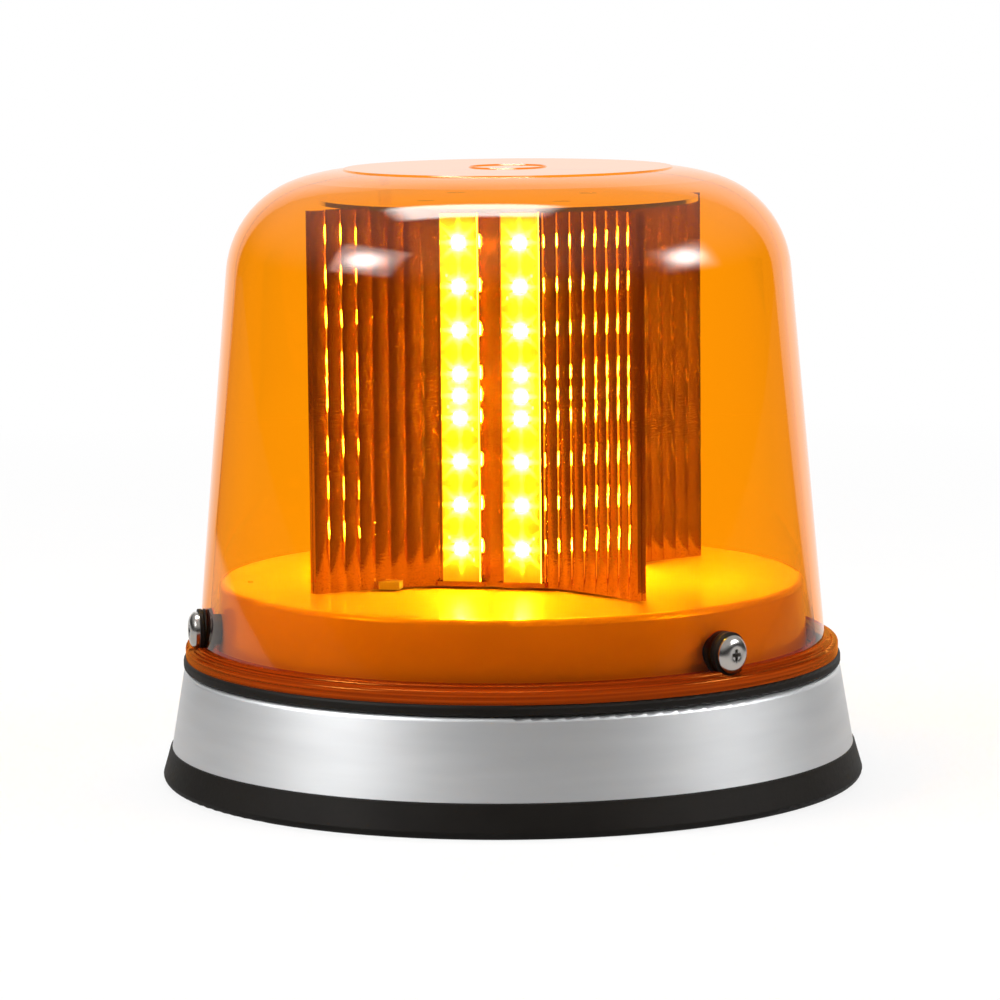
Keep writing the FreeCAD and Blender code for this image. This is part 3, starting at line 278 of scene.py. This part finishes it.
def green_board(name):
    """Driver board: green mask over copper runs."""
    made, net = new_net(name)
    place = net.place()
    cells = net.add("ShaderNodeTexVoronoi", {"feature": "DISTANCE_TO_EDGE", "distance": "EUCLIDEAN"},
                    Vector=place, Scale=320.0).outputs["Distance"]
    runs = net.math("LESS_THAN", cells, 0.16)
    grain = net.noise(place, 900.0, 2.0)
    shader = net.add("ShaderNodeBsdfPrincipled", Roughness=net.spread(grain, 0.28, 0.42))
    net.put(shader.inputs["Base Color"], net.ramp(runs, (0.0, (0.02, 0.13, 0.05)),
                                                  (1.0, (0.05, 0.24, 0.09))))
    net.put(shader.inputs["Normal"], net.bump(runs, 0.00004, 0.5))
    net.end(shader.outputs[0])
    return made


def strip_mask_and_painted_glow(name):
    """White LED board with the light of its own LEDs painted on as emission: a painted round glare with
    short rays about each LED, a painted wash of light and an even painted glow.
    """
    made, net = new_net(name)
    offset = net.add("ShaderNodeUVMap", {"uv_map": "glow"}).outputs[0]
    spot = net.add("ShaderNodeSeparateXYZ", Vector=offset)
    across, along = spot.outputs["X"], spot.outputs["Y"]
    away = net.math("SQRT", net.math("ADD", net.math("MULTIPLY", across, across),
                                     net.math("MULTIPLY", along, along)))
    turn = net.math("MULTIPLY", net.math("ARCTAN2", along, across), ray_turns)
    grain = net.noise(net.place(), 420.0, 4.0, 0.65)
    rays = net.math("POWER", net.math("ABSOLUTE", net.math("COSINE", turn)), ray_sharpness)
    reach = net.math("ADD", glare_radius, net.math("MULTIPLY", rays, ray_length))
    fall = net.math("POWER", net.math("DIVIDE", away, reach), 2.0)
    near = net.math("EXPONENT", net.math("MULTIPLY", -1.0, fall))
    # Painted glare: emission round each LED, with short rays, that only camera rays see.
    seen = net.add("ShaderNodeLightPath").outputs["Is Camera Ray"]
    glare = net.math("MULTIPLY", net.math("MULTIPLY", near, seen), glare_strength)
    # Painted light: emission that fades away from each LED, over an even painted glow on the whole
    # board.
    painted_light_wash = net.math("EXPONENT", net.math("DIVIDE", away, -painted_wash_length))
    lit = net.math("ADD", board_glow, net.math("MULTIPLY", painted_light_wash, painted_wash_strength))
    level = net.math("ADD", glare, net.math("MULTIPLY", lit, net.spread(grain, 0.6, 1.4)))
    shader = net.add("ShaderNodeBsdfPrincipled", Roughness=net.spread(grain, 0.32, 0.45))
    net.put(shader.inputs["Base Color"], net.ramp(grain, (0.3, (0.80, 0.79, 0.70)),
                                                  (0.7, (0.90, 0.89, 0.82))))
    shader.inputs["Emission Color"].default_value = (1.0, 0.95, 0.72, 1.0)
    net.put(shader.inputs["Emission Strength"], level)
    net.put(shader.inputs["Normal"], net.bump(grain, 0.00002, 0.4))
    net.end(shader.outputs[0])
    return made


def lamp_glow(name, strength):
    """A lit part of an LED, with a slight grain in its colour."""
    made, net = new_net(name)
    grain = net.noise(net.place(), 1200.0, 1.0)
    shader = net.add("ShaderNodeBsdfPrincipled", Roughness=0.15)
    shader.inputs["Base Color"].default_value = (0.95, 0.88, 0.60, 1.0)
    net.put(shader.inputs["Emission Color"], net.ramp(grain, (0.2, (1.0, 0.86, 0.55)),
                                                      (0.8, (1.0, 0.93, 0.70))))
    shader.inputs["Emission Strength"].default_value = strength
    net.end(shader.outputs[0])
    return made


looks = {
    "rubber": plain_solid("rubber_black", (0.006, 0.005, 0.004), (0.011, 0.0095, 0.008), 0.55,
                          grain=900.0, relief=0.00003, shine=0.12),
    "ring": turned_metal("aluminium_satin", (0.77, 0.785, 0.80), (0.83, 0.845, 0.86), 0.46),
    "cast": plain_solid("aluminium_cast", (0.38, 0.38, 0.38), (0.50, 0.50, 0.50), 0.48, 1.0,
                        grain=700.0, relief=0.00006),
    "stainless": plain_solid("stainless_bright", (0.52, 0.50, 0.48), (0.66, 0.64, 0.61), 0.20, 1.0,
                             grain=1400.0, relief=0.00001, spread=0.05),
    "sink": plain_solid("aluminium_extruded", (0.55, 0.55, 0.55), (0.66, 0.66, 0.66), 0.34, 1.0,
                        grain=1200.0, relief=0.00001),
    "can": plain_solid("motor_plated", (0.30, 0.30, 0.31), (0.40, 0.40, 0.40), 0.32, 1.0),
    "bronze": plain_solid("bronze_sintered", (0.36, 0.22, 0.09), (0.48, 0.30, 0.13), 0.42, 1.0,
                          grain=1600.0, relief=0.00003),
    "brass": plain_solid("brass_machined", (0.56, 0.40, 0.14), (0.68, 0.50, 0.20), 0.26, 1.0),
    "copper": plain_solid("copper_track", (0.62, 0.30, 0.16), (0.74, 0.38, 0.22), 0.22, 1.0),
    "acetal": plain_solid("acetal_white", (0.70, 0.68, 0.60), (0.80, 0.78, 0.71), 0.40),
    "black": plain_solid("plastic_black", (0.018, 0.018, 0.018), (0.035, 0.035, 0.035), 0.45),
    "carbon": plain_solid("carbon_grey", (0.03, 0.03, 0.035), (0.06, 0.06, 0.065), 0.55, grain=1500.0),
    "deck": plain_solid("deck_moulded", (0.55, 0.31, 0.11), (0.61, 0.35, 0.13), 0.36, grain=260.0,
                        relief=0.00001, spread=0.03, coat=1.0),
    "plate": plain_solid("plate_polished", (0.93, 0.91, 0.87), (0.97, 0.95, 0.91), 0.10, 1.0,
                         grain=500.0, relief=0.000004, spread=0.03),
    "board": green_board("board_green"),
    "dome": amber_clear("dome_amber"),
    "mirror": mirror_film("mirror_metallised"),
    # The LED boards, with the light of their LEDs painted on them as emission.
    "strip": strip_mask_and_painted_glow("led_board_white_painted_glow"),
    "glow": lamp_glow("led_lit", 1000.0),
    "package": lamp_glow("led_package_lit", 20.0),
    "clip": plain_solid("clip_plated", (0.80, 0.76, 0.70), (0.90, 0.87, 0.80), 0.42, 1.0),
    "solder": plain_solid("solder_tinned", (0.42, 0.41, 0.40), (0.58, 0.57, 0.55), 0.30, 1.0),
    "chip": plain_solid("chip_dark", (0.05, 0.035, 0.025), (0.09, 0.07, 0.05), 0.40),
}

wear = {
    "foot_gasket": "rubber", "dome_gasket": "rubber", "cable_grommet": "rubber",
    "dome_screw_bushes": "rubber", "base_ring": "ring", "base_plate": "cast", "deck_screws": "stainless",
    "dome": "dome", "dome_screws": "stainless", "dome_screw_inserts": "brass", "deck": "deck",
    "upper_bearing": "bronze", "lower_bearing": "bronze", "thrust_washer": "acetal", "motor": "can",
    "motor_bracket": "stainless", "motor_bracket_screws": "stainless", "driver_board": "board",
    "driver_board_screws": "stainless", "capacitors": "carbon", "choke": "black",
    "terminal_block": "black", "driver_chips": "chip", "brush_holder": "black", "brushes": "carbon",
    "motor_shaft": "stainless", "motor_pinion": "brass", "spindle": "stainless", "drive_gear": "acetal",
    "spindle_clip": "stainless", "slip_ring_sleeve": "acetal", "slip_rings": "copper",
    "turntable": "sink", "turntable_set_screw": "stainless", "turntable_screws": "stainless",
    "heat_sink": "sink", "top_plate": "plate", "top_plate_screws": "stainless",
    "reflector_clips": "clip",
}
for number in side_names:
    wear["reflector_" + number] = "mirror"
    wear["leds_" + number] = "glow"
    for hand in ("left", "right"):
        wear["led_board_" + number + "_" + hand] = "strip"
for name, obj in nodes.items():
    for slot in obj.material_slots:
        slot.material = looks[wear[name]]


# ------------------------------------------------------------------ pieces
def new_piece(name, shape, *materials):
    """An object from a bmesh, with its materials."""
    mesh = bpy.data.meshes.new(name)
    shape.to_mesh(mesh)
    shape.free()
    for made in materials:
        mesh.materials.append(made)
    piece = bpy.data.objects.new(name, mesh)
    bpy.context.scene.collection.objects.link(piece)
    return piece


def add_box(shape, centre, size, index=0, edge=0.0):
    """A box in a bmesh, its edges bevelled where edge is more than 0."""
    made = bmesh.ops.create_cube(shape, size=1.0)
    verts = made["verts"]
    bmesh.ops.scale(shape, vec=size, verts=verts)
    bmesh.ops.translate(shape, vec=centre, verts=verts)
    edges = {line for vert in verts for line in vert.link_edges}
    faces = {face for vert in verts for face in vert.link_faces}
    if edge > 0:
        made = bmesh.ops.bevel(shape, geom=list(edges), offset=edge, segments=2, affect="EDGES",
                               profile=0.6)
        faces = set(made["faces"]) | {face for face in faces if face.is_valid}
    for face in faces:
        face.material_index = index
    return faces


def add_cap(shape, centre, radius, height, index, rings=5, around=20):
    """A lens on a board that faces -Y: part of an ellipsoid."""
    tip = shape.verts.new((centre[0], centre[1] - height, centre[2]))
    last = None
    for ring in range(1, rings + 1):
        lean = 0.5 * math.pi * ring / rings
        here = []
        for step in range(around):
            turn = 2 * math.pi * step / around
            here.append(shape.verts.new((
                centre[0] + radius * math.sin(lean) * math.cos(turn),
                centre[1] - height * math.cos(lean),
                centre[2] + radius * math.sin(lean) * math.sin(turn))))
        for step in range(around):
            following = (step + 1) % around
            if last is None:
                face = shape.faces.new((tip, here[step], here[following]))
            else:
                face = shape.faces.new((last[step], here[step], here[following], last[following]))
            face.material_index = index
            face.smooth = True
        last = here


def middle(node):
    low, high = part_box(node)
    return 0.5 * (low + high)


def side_turn(number):
    """How far a side is turned about Z from facing -Y, from where its two boards lie."""
    across = middle("led_board_" + number + "_right") - middle("led_board_" + number + "_left")
    return math.atan2(across.y, across.x)


def led_heights(low, high):
    first = low + led_end_margin
    last = high - led_end_margin
    step = (last - first) / (led_rows - 1)
    return [first + index * step for index in range(led_rows)] + [0.5 * (first + last)]


def make_strip(number, hand):
    """One LED board with its pads and small parts, in place of its plain block."""
    node = "led_board_" + number + "_" + hand
    turn = side_turn(number)
    low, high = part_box(node)
    centre = Matrix.Rotation(-turn, 3, "Z") @ middle(node)
    heights = led_heights(low.z, high.z)
    wide, thick = board_size
    shape = bmesh.new()
    glow = shape.loops.layers.uv.new("glow")
    face_y = centre.y - 0.5 * thick
    back_y = face_y + thick
    ordered = sorted(heights)
    cuts = [low.z] + [0.5 * (one + other) for one, other in zip(ordered, ordered[1:])] + [high.z]
    left_x = centre.x - 0.5 * wide
    right_x = centre.x + 0.5 * wide
    front = [(shape.verts.new((left_x, face_y, z)), shape.verts.new((right_x, face_y, z)))
             for z in cuts]
    for height, below, above in zip(ordered, front, front[1:]):
        face = shape.faces.new((below[0], below[1], above[1], above[0]))
        for loop in face.loops:
            loop[glow].uv = ((loop.vert.co.x - centre.x) / MM, (loop.vert.co.z - height) / MM)
    rim = [row[1] for row in front] + [row[0] for row in reversed(front)]
    behind = [shape.verts.new((vert.co.x, back_y, vert.co.z)) for vert in rim]
    for index in range(len(rim)):
        following = (index + 1) % len(rim)
        shape.faces.new((rim[following], rim[index], behind[index], behind[following]))
    shape.faces.new(behind)
    side = 1.0 if hand == "left" else -1.0
    for index, height in enumerate(heights):
        for across in (-pad_place[0], pad_place[0]):
            for along in (pad_place[1], -pad_place[1]):
                add_box(shape, (centre.x + across, face_y - 0.5 * pad_size[1], height + along),
                        pad_size, 1)
        if index % small_part_step == 0:
            for place, size in ((resistor_place, resistor_size), (diode_place, diode_size)):
                add_box(shape, (centre.x + side * place[0], face_y - 0.5 * size[1], height + place[1]),
                        size, 2, small_part_edge)
    bmesh.ops.rotate(shape, verts=shape.verts, matrix=Matrix.Rotation(turn, 3, "Z"))
    piece = new_piece("led_strip_" + number + "_" + hand, shape, looks["strip"], looks["solder"],
                      looks["chip"])
    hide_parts(node)
    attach(piece, "rotor")


def make_lamps(number):
    """The LEDs of one side: moulded packages, each with a round lens."""
    turn = side_turn(number)
    shape = bmesh.new()
    for hand in ("left", "right"):
        node = "led_board_" + number + "_" + hand
        low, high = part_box(node)
        centre = Matrix.Rotation(-turn, 3, "Z") @ middle(node)
        face_y = centre.y - 0.5 * board_size[1]
        for height in led_heights(low.z, high.z):
            add_box(shape, (centre.x, face_y - 0.5 * led_package_height, height),
                    (led_package, led_package_height, led_package), 1, led_package_edge)
            add_cap(shape, (centre.x, face_y - led_package_height + led_lens_sink, height),
                    0.5 * led_lens, led_lens_height, 0)
    bmesh.ops.rotate(shape, verts=shape.verts, matrix=Matrix.Rotation(turn, 3, "Z"))
    piece = new_piece("led_lamps_" + number, shape, looks["glow"], looks["package"])
    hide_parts("leds_" + number)
    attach(piece, "rotor")


for number in side_names:
    make_strip(number, "left")
    make_strip(number, "right")
    make_lamps(number)


# ------------------------------------------------------------------ floor and backdrop
table_reach = 0.62             # how far the bright floor goes that glossy surfaces mirror
table_offset = 0.24            # how far its middle lies to the left of the object
table_depth_share = 2.0        # how much nearer its edge lies towards the camera
table_fade = 0.10              # over what distance its edge darkens


def backdrop(net, way):
    """How bright the white backdrop behind the object mirrors, by direction from the object."""
    split = net.add("ShaderNodeSeparateXYZ", Vector=way)
    start = net.add("ShaderNodeMapRange", Value=split.outputs["X"])
    start.inputs["From Min"].default_value = -0.4
    start.inputs["From Max"].default_value = 0.4
    start.inputs["To Min"].default_value = 0.80
    start.inputs["To Max"].default_value = 0.70
    past = net.math("SUBTRACT", split.outputs["Y"], start.outputs[0])
    near = net.add("ShaderNodeMapRange", Value=past)
    near.inputs["From Min"].default_value = 0.0
    near.inputs["From Max"].default_value = 0.02
    near.inputs["To Max"].default_value = 0.6
    full = net.add("ShaderNodeMapRange", Value=past)
    full.inputs["From Min"].default_value = 0.02
    full.inputs["From Max"].default_value = 0.14
    full.inputs["To Max"].default_value = 0.4
    return net.math("ADD", near.outputs[0], full.outputs[0])


def make_floor():
    """A wide pale floor that keeps the object's shadow."""
    shape = bmesh.new()
    bmesh.ops.create_grid(shape, x_segments=1, y_segments=1, size=6.0)
    made, net = new_net("floor_pale")
    grain = net.noise(net.place(), 12.0, 3.0)
    dull = net.add("ShaderNodeBsdfDiffuse", Color=net.ramp(grain, (0.3, (0.86, 0.86, 0.86)),
                                                           (0.7, (0.89, 0.89, 0.89))))
    rays = net.add("ShaderNodeLightPath")
    split = net.add("ShaderNodeSeparateXYZ", Vector=net.place())
    forward = net.math("MULTIPLY", split.outputs["Y"], -table_depth_share)
    ahead = net.math("MAXIMUM", split.outputs["Y"], forward)
    across = net.math("ADD", split.outputs["X"], table_offset)
    table = net.math("SQRT", net.math("ADD", net.math("POWER", across, 2.0),
                                      net.math("POWER", ahead, 2.0)))
    edge = net.add("ShaderNodeMapRange", {"interpolation_type": "SMOOTHSTEP"}, Value=table)
    edge.inputs["From Min"].default_value = table_reach
    edge.inputs["From Max"].default_value = table_reach + table_fade
    edge.inputs["To Min"].default_value = 0.5
    edge.inputs["To Max"].default_value = 0.08
    way = net.add("ShaderNodeVectorMath", {"operation": "NORMALIZE"}, Vector=net.place()).outputs[0]
    white = net.math("MAXIMUM", backdrop(net, way), rays.outputs["Is Camera Ray"])
    mirrored = net.math("MAXIMUM", edge.outputs[0], white)
    light = net.add("ShaderNodeEmission", Strength=mirrored)
    light.inputs["Color"].default_value = (1.0, 1.0, 1.0, 1.0)
    seen = net.math("MAXIMUM", rays.outputs["Is Camera Ray"], net.math(
        "MAXIMUM", rays.outputs["Is Glossy Ray"], rays.outputs["Is Transmission Ray"]))
    away = net.add("ShaderNodeVectorMath", {"operation": "LENGTH"}, Vector=net.place()).outputs["Value"]
    far = net.add("ShaderNodeMapRange", Value=away)
    far.inputs["From Min"].default_value = 0.15
    far.inputs["From Max"].default_value = 0.9
    far.inputs["To Min"].default_value = 0.80
    far.inputs["To Max"].default_value = 1.0
    mixed = net.add("ShaderNodeMixShader", Fac=net.math("MULTIPLY", seen, far.outputs[0]))
    net.put(mixed.inputs[1], dull.outputs[0])
    net.put(mixed.inputs[2], light.outputs[0])
    net.end(mixed.outputs[0])
    floor = new_piece("floor", shape, made)
    floor.location.z = cad_box[0][2]


def make_world():
    """A white room behind the object and a dimmer one in front of it."""
    world = bpy.data.worlds.new("studio")
    bpy.context.scene.world = world
    net = Net(world)
    rays = net.add("ShaderNodeLightPath")
    way = net.add("ShaderNodeTexCoord").outputs["Generated"]
    height = net.add("ShaderNodeSeparateXYZ", Vector=way).outputs["Z"]
    overhead = net.add("ShaderNodeMapRange", {"interpolation_type": "SMOOTHSTEP"},
                       Value=height)
    overhead.inputs["From Min"].default_value = 0.12
    overhead.inputs["From Max"].default_value = 0.60
    overhead.inputs["To Min"].default_value = 0.03
    overhead.inputs["To Max"].default_value = 0.45
    room = net.math("MAXIMUM", backdrop(net, way), overhead.outputs[0])
    white = net.add("ShaderNodeBackground", Strength=1.0)
    white.inputs["Color"].default_value = (1.0, 1.0, 1.0, 1.0)
    mirrored = net.add("ShaderNodeBackground", Strength=room)
    mirrored.inputs["Color"].default_value = (1.0, 0.98, 0.96, 1.0)
    soft = net.add("ShaderNodeBackground", Strength=0.14)
    soft.inputs["Color"].default_value = (1.0, 1.0, 1.0, 1.0)
    first = net.add("ShaderNodeMixShader", Fac=rays.outputs["Is Glossy Ray"])
    net.put(first.inputs[1], soft.outputs[0])
    net.put(first.inputs[2], mirrored.outputs[0])
    direct = net.math("MAXIMUM", rays.outputs["Is Camera Ray"], rays.outputs["Is Transmission Ray"])
    second = net.add("ShaderNodeMixShader", Fac=direct)
    net.put(second.inputs[1], first.outputs[0])
    net.put(second.inputs[2], white.outputs[0])
    net.end(second.outputs[0], "ShaderNodeOutputWorld")


def soften(light, edge, middle_share):
    """Fades a softbox towards its rim and makes its middle brighter."""
    net = Net(light)
    place = net.add("ShaderNodeNewGeometry").outputs["Parametric"]
    spot = net.add("ShaderNodeSeparateXYZ", Vector=place)
    fade = 1.0
    centre = 1.0
    for axis in ("X", "Y"):
        inward = net.math("MINIMUM", spot.outputs[axis], net.math("SUBTRACT", 1.0, spot.outputs[axis]))
        rim = net.add("ShaderNodeMapRange", {"interpolation_type": "SMOOTHSTEP"}, Value=inward)
        rim.inputs["From Max"].default_value = edge
        fade = net.math("MULTIPLY", fade, rim.outputs[0])
        core = net.add("ShaderNodeMapRange", {"interpolation_type": "SMOOTHSTEP"}, Value=inward)
        core.inputs["From Max"].default_value = 0.5
        centre = net.math("MULTIPLY", centre, net.math("POWER", core.outputs[0], 2.0))
    level = net.math("MULTIPLY", fade, net.math("ADD", 1.0, net.math("MULTIPLY", centre, middle_share)))
    net.end(net.add("ShaderNodeEmission", Strength=level).outputs[0], "ShaderNodeOutputLight")


# ------------------------------------------------------------------ lamps and camera
def make_lamp(name, azimuth, elevation, distance, size, power, mirrored=False, aim_height=0.09,
              edge=0.0, middle_share=0.0, roll=0.0):
    """A softbox that looks at the object, its azimuth counted from -Y towards +X.

    A mirrored one shows only in gloss, and the others light only dull surfaces.
    """
    light = bpy.data.lights.new(name, "AREA")
    light.shape = "RECTANGLE"
    light.size, light.size_y = size
    light.energy = power
    lamp = bpy.data.objects.new(name, light)
    bpy.context.scene.collection.objects.link(lamp)
    around = math.radians(azimuth)
    up = math.radians(elevation)
    way = Vector((math.sin(around) * math.cos(up), -math.cos(around) * math.cos(up), math.sin(up)))
    lamp.location = Vector((0.0, 0.0, aim_height)) + way * distance
    facing = way.to_track_quat("Z", "Y").to_matrix() @ Matrix.Rotation(math.radians(roll), 3, "Z")
    lamp.rotation_euler = facing.to_euler()
    lamp.visible_camera = False
    lamp.visible_transmission = False
    lamp.visible_diffuse = not mirrored
    lamp.visible_glossy = mirrored
    if edge > 0:
        soften(light, edge, middle_share)


camera_place = (0.0, -1.2214, 0.2294)
camera_lens = 163.8
camera_shift = -0.0106
camera_drop = 0.126            # radians that it looks down
camera_tilt = -0.009           # radians that it leans


def make_camera():
    """The camera, a long lens a little above the object and level with its front."""
    data = bpy.data.cameras.new("camera")
    data.sensor_width = 36.0
    data.lens = camera_lens
    data.shift_x = camera_shift
    camera = bpy.data.objects.new("camera", data)
    bpy.context.scene.collection.objects.link(camera)
    camera.location = camera_place
    pitch = math.radians(90.0) - camera_drop
    lean = Matrix.Rotation(camera_tilt, 3, "Z")
    camera.rotation_euler = (Matrix.Rotation(pitch, 3, "X") @ lean).to_euler()
    bpy.context.scene.camera = camera


make_floor()
make_world()
make_lamp("fill_left", -72.0, 34.0, 1.5, (0.9, 0.9), 20.0)
make_lamp("fill_right", 78.0, 32.0, 1.5, (0.9, 0.9), 15.0)
make_lamp("fill_top", 180.0, 78.0, 1.4, (1.0, 0.8), 8.0)
make_lamp("softbox_left", -63.0, 27.0, 1.2, (0.72, 0.60), 5.2, mirrored=True, aim_height=0.145,
          edge=0.14, middle_share=10.0)
make_lamp("softbox_right", 79.0, 23.0, 1.2, (0.76, 0.56), 3.0, mirrored=True, aim_height=0.145,
          edge=0.25, middle_share=14.0)
make_lamp("softbox_top", -132.0, 79.0, 1.2, (0.88, 0.50), 20.0, mirrored=True, aim_height=0.155,
          edge=0.20, roll=-56.0)
make_camera()
bpy.context.scene.view_settings.view_transform = "Standard"
